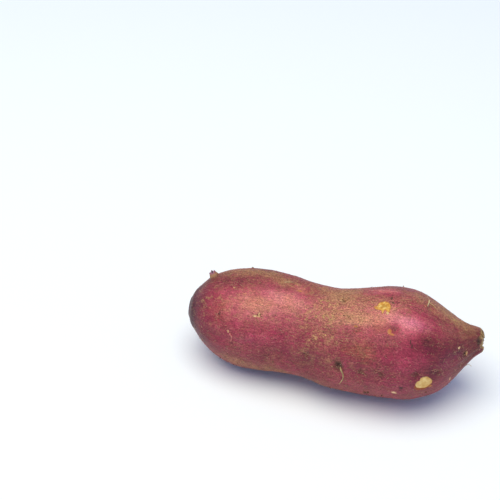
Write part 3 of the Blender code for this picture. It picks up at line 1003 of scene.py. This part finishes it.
# %% Healed flesh of the large patches
yellow_grain = lumps(2.0, 3, 0.7)
yellow_flesh = ramp(
    yellow_grain,
    (0.32, "#A8702A"),
    (0.47, "#D2923C"),
    (0.56, "#DDA852"),
    (0.68, "#ECCB7A"),
)
cream_grain = lumps(2.6, 3, 0.5, (0.6, 0, 0))
cream_flesh = ramp(cream_grain, (0.30, "#CC9449"), (0.50, "#E0B067"), (0.70, "#F0CC88"))
colour = over(colour, linear("#9A4A1C"), times(rim_cream, 0.95))
colour = over(colour, cream_flesh, bare_cream)
colour = over(colour, linear("#8A5030"), times(rim_yellow, 0.55))
colour = over(colour, yellow_flesh, bare_yellow)
inner = between(maths("ADD", value["yellow_scar"], times(ragged, 1.2)), -1.1, -2.4)
colour = over(colour, linear("#A8742C"), times(inner, 0.6))
print("points that draw the cream patch:", len(CREAM_SCAR))

# %% Small scars and ochre marks
small_grain = lumps(1.1, 2, 0.6, (0.3, 0.8, 0))
small_flesh = ramp(small_grain, (0.35, "#B8785A"), (0.50, "#DAA874"), (0.65, "#F0D09A"))
colour = over(colour, small_flesh, times(bare_small, 0.95))
ochre = maths("ADD", value["ochre_mark"], around_zero(lumps(1.3, 3, 0.7, (0.7, 0.1, 0.2)), 1.2))
colour = over(colour, linear("#C8823F"), times(between(ochre, 1.2, 0.5), 0.75))
print("small scars and ochre marks:", len(SMALL_SCARS), len(OCHRE_MARKS))

# %% [markdown]
# ## Gloss
#
# Where cork is thin, the washed skin is nearly satin, with a roughness of about 0.42. Thick cork
# scatters light and is at about 0.6, and bare flesh lies between. Plant tissue bends light by
# about 1.45. Its surface is broken up by cells, so less of it mirrors than on a smooth solid, and the
# specular level is lower than usual. A trace of sheen stands for the fuzz of fibre ends.

# %% Gloss and small bumps of the skin
bare = maths("MAXIMUM", bare_yellow, bare_cream)
gloss = maths("MULTIPLY_ADD", cork_share, 0.20, maths("MULTIPLY_ADD", bare, 0.15, 0.42))
height = maths("MULTIPLY_ADD", cork_share, 0.6, times(weave, 0.5))
height = maths("SUBTRACT", maths("ADD", height, times(thread, 0.5)), times(pores, 0.4))
bump = add(tree, "ShaderNodeBump", {"Height": height, "Distance": 0.25 * MM, "Strength": 0.8})
tree.links.new(colour, shader.inputs["Base Color"])
tree.links.new(gloss, shader.inputs["Roughness"])
tree.links.new(bump.outputs["Normal"], shader.inputs["Normal"])
shader.inputs["IOR"].default_value = 1.45
shader.inputs["Specular IOR Level"].default_value = 0.28
shader.inputs["Sheen Weight"].default_value = 0.04
shader.inputs["Sheen Roughness"].default_value = 0.5
shader.inputs["Sheen Tint"].default_value = linear("#D9B48A")
root_mesh.materials.append(skin)
print("nodes in the skin:", len(tree.nodes))

# %% [markdown]
# ## The two cuts
#
# The vine cut is flesh that healed in air: cream, with a darker ring of cambium near its edge, fine
# rays and a small core. The tail dried to brown fibres. They are other tissues than the skin, so
# each gets its own material on the faces of its cut. Both are matt: the healed flesh is a dull, waxy
# cream with a roughness of 0.7, and the dried fibre is rougher still and looks like old wood.

# %% The healed vine cut
vine_cut, tree, shader = new_material("cut flesh, healed cream")
place = add(tree, "ShaderNodeTexCoord").outputs["Object"]
grain = add(tree, "ShaderNodeAttribute", attribute_name="grain").outputs["Vector"]
ring = add(tree, "ShaderNodeSeparateXYZ", {0: grain}).outputs["X"]
ring = maths("MULTIPLY_ADD", ring, per_mm(VINE_CUT), around_zero(lumps(2.2, 3), 0.7))
flesh = ramp(
    maths("ADD", ring, 1.0),
    (0.00, "#6E4A2C"),
    (0.14, "#B4905E"),
    (0.56, "#CDB283"),
    (0.66, "#7E5A38"),
    (0.74, "#BC9A68"),
    (0.92, "#4E2C22"),
)
rays = between(fibres(9, 3.2, 2), 0.35, 0.7)
flesh = over(flesh, linear("#8E6A44"), times(rays, 0.55))
dots = between(lumps(0.7, 1), 0.66, 0.74)
flesh = over(flesh, linear("#6B4426"), times(dots, 0.6))
rough = maths("ADD", rays, lumps(0.8))
bump = add(tree, "ShaderNodeBump", {"Height": rough, "Distance": 0.2 * MM, "Strength": 0.6})
tree.links.new(flesh, shader.inputs["Base Color"])
tree.links.new(bump.outputs["Normal"], shader.inputs["Normal"])
shader.inputs["Roughness"].default_value = 0.7
root_mesh.materials.append(vine_cut)
print("vine cut across, in mm:", 2 * VINE_CUT)

# %% The dried tail cut
tail_cut, tree, shader = new_material("cut flesh, dried brown")
place = add(tree, "ShaderNodeTexCoord").outputs["Object"]
grain = add(tree, "ShaderNodeAttribute", attribute_name="grain").outputs["Vector"]
dried = ramp(
    maths("MULTIPLY_ADD", lumps(1.2, 3), 0.6, times(fibres(6, 2.6), 0.4)),
    (0.34, "#2A1D15"),
    (0.46, "#5E4530"),
    (0.56, "#8A6C46"),
    (0.68, "#B79A6A"),
)
bump = add(tree, "ShaderNodeBump", {"Height": lumps(0.9, 3), "Distance": 0.4 * MM, "Strength": 0.8})
tree.links.new(dried, shader.inputs["Base Color"])
tree.links.new(bump.outputs["Normal"], shader.inputs["Normal"])
shader.inputs["Roughness"].default_value = 0.85
root_mesh.materials.append(tail_cut)
print("tail cut across, in mm:", 2 * TAIL_CUT)

# %% Skin or cut, face by face, with a ragged border
first_corners = np.array([face.vertices[0] for face in root_mesh.polygons])
ragged_path = (path + 0.9 * soil_noise(spots, 1.3, (0, 5, 5)))[first_corners]
slots = np.where(ragged_path < -0.5, 1, np.where(ragged_path > END + 0.1, 2, 0))
root_mesh.polygons.foreach_set("material_index", slots.astype(np.int32))
print("faces on the vine cut and the tail cut:", int((slots == 1).sum()), int((slots == 2).sum()))

# %% [markdown]
# ## Rootlets
#
# A few thin roots are left on the skin, torn short and dried tan. A curve with round thickness is
# the natural tool: it bends freely, tapers by point, and stays light. Each rootlet starts inside its
# eye, follows the skin and lifts off at its tip. They are a tenth of a millimetre thinner here than
# in the solid, which is closer to the real ones.

# %% The rootlets' routes, the same as in the solid
Rootlet = namedtuple("Rootlet", "run angle forward around bow")
FRONT_ROOTLETS = (
    Rootlet(run=101.5, angle=7, forward=1.6, around=-24, bow=2.2),
    Rootlet(run=145.8, angle=110, forward=-0.8, around=-19, bow=0.1),
    Rootlet(run=37.9, angle=19, forward=2.0, around=-10, bow=1.0),
)
ROOTLET_RADIUS = 0.45


def hidden_rootlets():
    """Some of the eyes on the far side keep a short rootlet, but none where the root lies on."""
    chance = random.Random(SEED + 1)
    rootlets = []
    for eye in hidden_eyes():
        keeps = chance.random() < 0.4
        around = chance.choice((-1, 1)) * chance.uniform(8, 20)
        forward = chance.uniform(-3, 5)
        if keeps and eye.angle < 190:
            rootlets.append(Rootlet(eye.run, eye.angle, forward, around, 1.2))
    return rootlets


def outward(run, angle):
    """The direction straight out of the skin at each place."""
    along = skin_places(run + 0.8, angle) - skin_places(run - 0.8, angle)
    round_it = skin_places(run, angle + 0.03) - skin_places(run, angle - 0.03)
    out = np.cross(along, round_it)
    return out / np.linalg.norm(out, axis=1, keepdims=True)


print("rootlet thickness at its foot, in mm:", round(2 * 1.15 * ROOTLET_RADIUS, 2))


# %% Strands, each a tapering curve
def strands_object(name, strands, sides, material):
    """One curve object that holds many tapering strands. Each is (points in mm, radii in mm)."""
    curve = bpy.data.curves.new(name, "CURVE")
    curve.dimensions = "3D"
    curve.bevel_depth = MM
    curve.bevel_resolution = sides
    curve.use_fill_caps = True
    for points, radii in strands:
        points[:, 2] = np.maximum(points[:, 2], radii)
        spline = curve.splines.new("POLY")
        spline.points.add(len(points) - 1)
        rows = np.column_stack([points * MM, np.ones(len(points))])
        spline.points.foreach_set("co", rows.ravel())
        spline.points.foreach_set("radius", radii)
        spline.use_smooth = True
    curve.materials.append(material)
    piece = bpy.data.objects.new(name, curve)
    bpy.context.scene.collection.objects.link(piece)
    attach(piece, "root")
    return piece


def rootlet_strand(rootlet, chance, sunk=0.0):
    """The points and thickness of one rootlet, knotted a little as roots are."""
    share = np.linspace(0, 1, 26)
    run = rootlet.run + rootlet.forward * share + rootlet.bow * np.sin(np.pi * share)
    angle = np.radians(rootlet.angle + rootlet.around * share)
    wave = chance.uniform(0, 6)
    run = run + 0.22 * np.sin(9 * share + wave) * share
    lift = -1.6 + 1.9 * fade(share, 0.0, 0.22) + 0.6 * fade(share, 0.6, 1.0)
    points = skin_places(run, angle) + outward(run, angle) * (lift[:, None] - sunk)
    knots = 1 + 0.12 * np.sin(23 * share + wave)
    return points, ROOTLET_RADIUS * (1.15 - 0.6 * share) * knots


print("eyes on the far side that keep a rootlet:", len(hidden_rootlets()))

# %% [markdown]
# ## Dried bark, bare straw and a grown-over root
#
# Most rootlets keep their bark, which dries to a matt brown-tan, uneven along its length. Where the
# bark came off, the woody thread inside is left, smooth and pale as straw, and a few hair-thin ones
# lie on the skin. One root on the front was grown over: the skin has closed round it, and it shows
# as a pink ridge with a sharper edge than a bump would have. Each has its own material, with colour
# that changes over about a millimetre.

# %% Dried root bark
bark, tree, shader = new_material("rootlet, dried tan bark")
place = add(tree, "ShaderNodeTexCoord").outputs["Object"]
bark_colour = ramp(lumps(0.8, 3), (0.30, "#7C5E3C"), (0.50, "#AA8C5E"), (0.70, "#C8AC7C"))
tree.links.new(bark_colour, shader.inputs["Base Color"])
shader.inputs["Roughness"].default_value = 0.75
strand_chance = random.Random(SEED + 2)
routes = [FRONT_ROOTLETS[0]] + hidden_rootlets()
strands_object("rootlets", [rootlet_strand(r, strand_chance) for r in routes], 3, bark)
print("rootlets:", len(routes))

# %% Pale straw, where a rootlet lost its bark
straw, tree, shader = new_material("rootlet, dried to pale straw")
place = add(tree, "ShaderNodeTexCoord").outputs["Object"]
straw_colour = ramp(lumps(1.0, 2), (0.35, "#B8935E"), (0.60, "#E0C594"))
tree.links.new(straw_colour, shader.inputs["Base Color"])
shader.inputs["Roughness"].default_value = 0.6


def fine_thread(run, angle, forward, around, rise, chance):
    """A thread 0.4 mm thick at its foot that lies on the skin and lifts at its tip by rise."""
    share = np.linspace(0, 1, 12)
    runs = run + forward * share + 0.5 * np.sin(np.pi * share)
    angles = np.radians(angle + around * share + chance.uniform(-2, 2) * np.sin(np.pi * share))
    points = skin_places(runs, angles) + outward(runs, angles) * (0.1 + rise * share**2)[:, None]
    return points, 0.2 * (1 - 0.6 * share)


straws = [rootlet_strand(FRONT_ROOTLETS[1], strand_chance)]
for run_at, angle_at, forward, around, rise in (
    (146.4, 101, 3.6, -5, 0.2),
    (174.8, -46, 1.6, -4, 2.6),
    (184.0, 40, -0.5, -14, 1.2),
    (64.0, 96, 5.0, 3, 0.3),
    (140.0, 160, 3.0, 9, 0.8),
    (70.0, 210, -3.0, 7, 0.6),
):
    straws.append(fine_thread(run_at, angle_at, forward, around, rise, strand_chance))
strands_object("straw", straws, 2, straw)
print("straw strands:", len(straws))

# %% A rootlet that the skin grew over
grown_over, tree, shader = new_material("rootlet, grown over with skin")
place = add(tree, "ShaderNodeTexCoord").outputs["Object"]
over_colour = ramp(lumps(1.1, 3), (0.34, "#A04A52"), (0.50, "#C26C62"), (0.66, "#D08C74"))
tree.links.new(over_colour, shader.inputs["Base Color"])
shader.inputs["Roughness"].default_value = 0.6
SUNK = 0.1
ridge = rootlet_strand(FRONT_ROOTLETS[2], strand_chance, SUNK)
strands_object("grown_over_rootlet", [ridge], 3, grown_over)
print("it is sunk by, in mm:", SUNK)

# %% [markdown]
# ## Root hairs
#
# Fine hairs stand round the eyes and lie along the skin. They are too thin to see one by one from
# a step away, but they soften the outline. Each is a short tapering strand, laid mostly along the
# grain. They are drawn about 0.1 mm thick, twice the real size, so that they show at all. Dry hairs
# are pale and matt, and they catch the light as a faint fuzz.

# %% Hairs at the eyes and down along the skin
HAIRS = 1500
HAIR_LENGTHS = (0.7, 2.4)


def hair_strands(count, chance):
    """Hairs by chance, a third of them round the eyes. Each has a foot, a middle and a tip."""
    run = np.array([chance.uniform(8, END - 3) for _ in range(count)])
    angle = np.array([chance.uniform(-0.9, 4.0) for _ in range(count)])
    for index in range(count // 3):
        eye = chance.choice(EYES)
        run[index] = eye.run + chance.gauss(0, 1.8)
        angle[index] = math.radians(eye.angle + chance.gauss(0, 4))
    run = np.clip(run, 6, END - 1)
    base = skin_places(run, angle)
    out = outward(run, angle)
    ahead = skin_places(run + 0.5, angle) - base
    ahead /= np.linalg.norm(ahead, axis=1, keepdims=True)
    side = np.cross(out, ahead)
    strands = []
    for index in range(count):
        lean = chance.uniform(-1.3, 1.3)
        way = ahead[index] * math.cos(lean) * chance.choice((-1, 1)) + side[index] * math.sin(lean)
        length = chance.uniform(*HAIR_LENGTHS)
        bend = side[index] * chance.uniform(-0.4, 0.4) * length
        rise = chance.uniform(0.15, 0.6)
        middle = base[index] + way * length * 0.5 + out[index] * (0.12 + rise * length * 0.3) + bend * 0.3
        tip = base[index] + way * length + out[index] * (0.1 + rise * length * 0.4) + bend
        points = np.array([base[index] - out[index] * 0.15, middle, tip])
        strands.append((points, np.array([0.06, 0.05, 0.015])))
    return strands


print("hairs are long, in mm:", HAIR_LENGTHS)

# %% Hair material, and the hairs
hair, tree, shader = new_material("root hair, dry and pale")
shader.inputs["Base Color"].default_value = linear("#C9A67A")
shader.inputs["Roughness"].default_value = 0.7
hairs = strands_object("root_hairs", hair_strands(HAIRS, random.Random(SEED + 3)), 0, hair)
print("hairs:", len(hairs.data.splines))

# %% [markdown]
# ## The broken shoot
#
# Near the vine end a shoot started and broke off, which leaves a ragged little cup with a dark
# hollow. It is the same kind of body as the root, so the same moved sphere makes it. Its foot is
# corky and brown, its wall purple and a little waxy, and its torn rim dry and pale, so the colour
# follows the way from foot to hollow. Inside the cup it is painted dark brown to nearly black, as
# painted shade in the hollow.

# %% A ragged cup
SHOOT_RUN, SHOOT_ANGLE = 20.5, 107
SHOOT_RADIUS, SHOOT_HEIGHT = 2.1, 3.0
shoot_place = (np.array([SHOOT_RUN]), np.radians([SHOOT_ANGLE]))
foot, up = skin_places(*shoot_place)[0], outward(*shoot_place)[0]
east = np.cross(up, [1.0, 0, 0])
east /= np.linalg.norm(east)
north = np.cross(up, east)


def shoot_point(share, angle):
    """From the buried foot at 0, up the outside to the rim at 0.62, and down inside to 1."""
    heights = np.interp(share, [0, 0.1, 0.25, 0.5, 0.62, 0.72, 1], [-1.6, -1.5, 0, 0.85, 1, 0.8, 0.25])
    widths = np.interp(share, [0, 0.1, 0.25, 0.5, 0.62, 0.72, 1], [0, 1.4, 1.35, 0.9, 0.8, 0.6, 0])
    rag = 1 + (0.16 * np.sin(3 * angle + 0.5) + 0.08 * np.sin(7 * angle)) * fade(share, 0.2, 0.6)
    heights = np.where(heights > 0, heights * SHOOT_HEIGHT * rag, heights)
    spread = np.cos(angle)[:, None] * east + np.sin(angle)[:, None] * north
    wide = widths * SHOOT_RADIUS * (1 + 0.06 * np.sin(5 * angle + 1))
    return foot + up * heights[:, None] + spread * wide[:, None]


print("shoot across, in mm:", 2 * SHOOT_RADIUS)

# %% The shoot and its material
shoot_mesh, shoot_share, _ = grown_body("broken_shoot", 40, 44, shoot_point)
store(shoot_mesh, "from_foot", shoot_share)
shoot = bpy.data.objects.new("broken_shoot", shoot_mesh)
bpy.context.scene.collection.objects.link(shoot)
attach(shoot, "root")

bud, tree, shader = new_material("shoot, broken and dried")
place = add(tree, "ShaderNodeTexCoord").outputs["Object"]
up_it = add(tree, "ShaderNodeAttribute", attribute_name="from_foot").outputs["Fac"]
bud_colour = ramp(
    maths("ADD", up_it, around_zero(lumps(0.9, 3), 0.3)),
    (0.20, "#7E4444"),
    (0.36, "#A87848"),
    (0.52, "#96506A"),
    (0.62, "#BE8AA0"),
    # the inside of the cup: painted shade in the hollow, nearly black
    (0.72, "#2E1A14"),
    (0.90, "#100A08"),
)
tree.links.new(bud_colour, shader.inputs["Base Color"])
shader.inputs["Roughness"].default_value = 0.6
shoot_mesh.materials.append(bud)
print("shoot stands out of the skin by, in mm:", SHOOT_HEIGHT)

# %% [markdown]
# ## Soil crumbs
#
# Washing leaves crumbs of dry soil in the eyes and low on the sides. Each is a small ball pushed out
# of round by noise and half sunk in the skin. Particles would do it too, but a joined mesh is
# attached to the root and travels with it. Dry loam is brown and wholly matt, so it has no shine at all.

# %% Crumbs by chance, most of them in the eyes, and a few larger ones low on the side
CRUMBS = 90
Crumb = namedtuple("Crumb", "run angle size")
LOW_CRUMBS = (
    Crumb(run=116.6, angle=-32, size=0.75),
    Crumb(run=118.4, angle=-30, size=0.6),
    Crumb(run=118.0, angle=-34, size=0.5),
    Crumb(run=125.8, angle=-35, size=0.5),
    Crumb(run=150.2, angle=-22, size=0.4),
)


def crumb_mesh(count, chance):
    """The low crumbs first, then the others by chance, joined to one mesh."""
    mesh = bpy.data.meshes.new("soil_crumbs")
    crumbs = bmesh.new()
    for number in range(count):
        low = LOW_CRUMBS[number] if number < len(LOW_CRUMBS) else None
        if low:
            run, angle = low.run, math.radians(low.angle)
        elif number % 3:
            eye = chance.choice(EYES)
            run, angle = eye.run + chance.gauss(0, 1.3), math.radians(eye.angle + chance.gauss(0, 2.5))
        else:
            run, angle = chance.uniform(25, 165), chance.uniform(-0.8, -0.2)
        middle = skin_places(np.array([run]), np.array([angle]))[0]
        size = low.size if low else chance.uniform(0.12, 0.38)
        ball = bmesh.ops.create_icosphere(crumbs, subdivisions=2, radius=size)["verts"]
        for vertex in ball:
            push = 1 + 0.5 * noise.noise(vertex.co * 4 + Vector((number, 0, 0)))
            vertex.co = (vertex.co * push + Vector(middle)) * MM
            vertex.co.z = max(vertex.co.z, 0.0)
    crumbs.to_mesh(mesh)
    crumbs.free()
    mesh.shade_smooth()
    return mesh


soil_mesh = crumb_mesh(CRUMBS, random.Random(SEED + 4))
crumbs = bpy.data.objects.new("soil_crumbs", soil_mesh)
bpy.context.scene.collection.objects.link(crumbs)
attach(crumbs, "root")
soil, tree, shader = new_material("soil, dry loam")
place = add(tree, "ShaderNodeTexCoord").outputs["Object"]
soil_colour = ramp(lumps(0.7, 2), (0.35, "#3E291C"), (0.60, "#7A583C"))
tree.links.new(soil_colour, shader.inputs["Base Color"])
shader.inputs["Roughness"].default_value = 0.95
soil_mesh.materials.append(soil)
print("crumbs:", CRUMBS)

# %% [markdown]
# ## Floor, light and camera
#
# The root lies on matt white card, which has no shine and shows the shadow alone. Over it is a large
# soft light, slightly warm, and the room fills in from all sides. A soft light gives broad, dull
# highlights and shadows with no hard edge, which suits cork. It hangs two metres off, so that the
# card is lit evenly. The room is a slow change of pale blue, stronger from behind the camera, and it
# makes the shadow cool.

# %% White card
CARD_SIDE = 8
floor_mesh = bpy.data.meshes.new("floor")
card = bmesh.new()
bmesh.ops.create_grid(card, x_segments=1, y_segments=1, size=CARD_SIDE / 2)
card.to_mesh(floor_mesh)
card.free()
floor = bpy.data.objects.new("floor", floor_mesh)
bpy.context.scene.collection.objects.link(floor)
paper, tree, shader = new_material("card, white and matt")
shader.inputs["Base Color"].default_value = linear("#F8FAFE")
shader.inputs["Roughness"].default_value = 0.9
floor_mesh.materials.append(paper)
print("card side, in m:", CARD_SIDE)


# %% Soft light from above
def soft_light(name, place, aim, width, watts, colour):
    """A round lamp of this width in metres, turned towards its aim."""
    light = bpy.data.lights.new(name, "AREA")
    light.shape, light.size, light.energy = "DISK", width, watts
    light.color = linear(colour)[:3]
    lamp = bpy.data.objects.new(name, light)
    lamp.location = place
    lamp.rotation_euler = (Vector(aim) - Vector(place)).to_track_quat("-Z", "Y").to_euler()
    bpy.context.scene.collection.objects.link(lamp)
    return lamp


soft_light("key", (-0.22, -0.33, 1.94), (0, 0, 0.03), 2.2, 38.0, "#FFF7DA")

# %% Pale fill from the room
world = bpy.data.worlds.new("room")
world.use_nodes = True
tree = world.node_tree
direction = add(tree, "ShaderNodeTexCoord").outputs["Generated"]
toward = add(tree, "ShaderNodeSeparateXYZ", {0: direction}).outputs["Y"]
room = ramp(maths("MULTIPLY_ADD", toward, 0.5, 0.5), (0.0, "#B6D5FF"), (1.0, "#A9B8D6"))
tree.links.new(room, tree.nodes["Background"].inputs["Color"])
tree.nodes["Background"].inputs["Strength"].default_value = 0.76
bpy.context.scene.world = world
bpy.context.scene.view_settings.view_transform = "Standard"
print("strength of the fill:", round(tree.nodes["Background"].inputs["Strength"].default_value, 2))

# %% Camera, 85 mm, from above the front
camera = bpy.data.objects.new("camera", bpy.data.cameras.new("camera"))
camera.data.lens = 85
camera.data.sensor_width = 36
camera.location = (0.0641, -0.5222, 0.4387)
aim = Vector((-0.0496, 0.0130, 0.0696))
camera.rotation_euler = (aim - camera.location).to_track_quat("-Z", "Y").to_euler()
bpy.context.scene.collection.objects.link(camera)
bpy.context.scene.camera = camera
look = aim - camera.location
print("camera looks down by, in degrees:", round(math.degrees(math.asin(-look.z / look.length))))
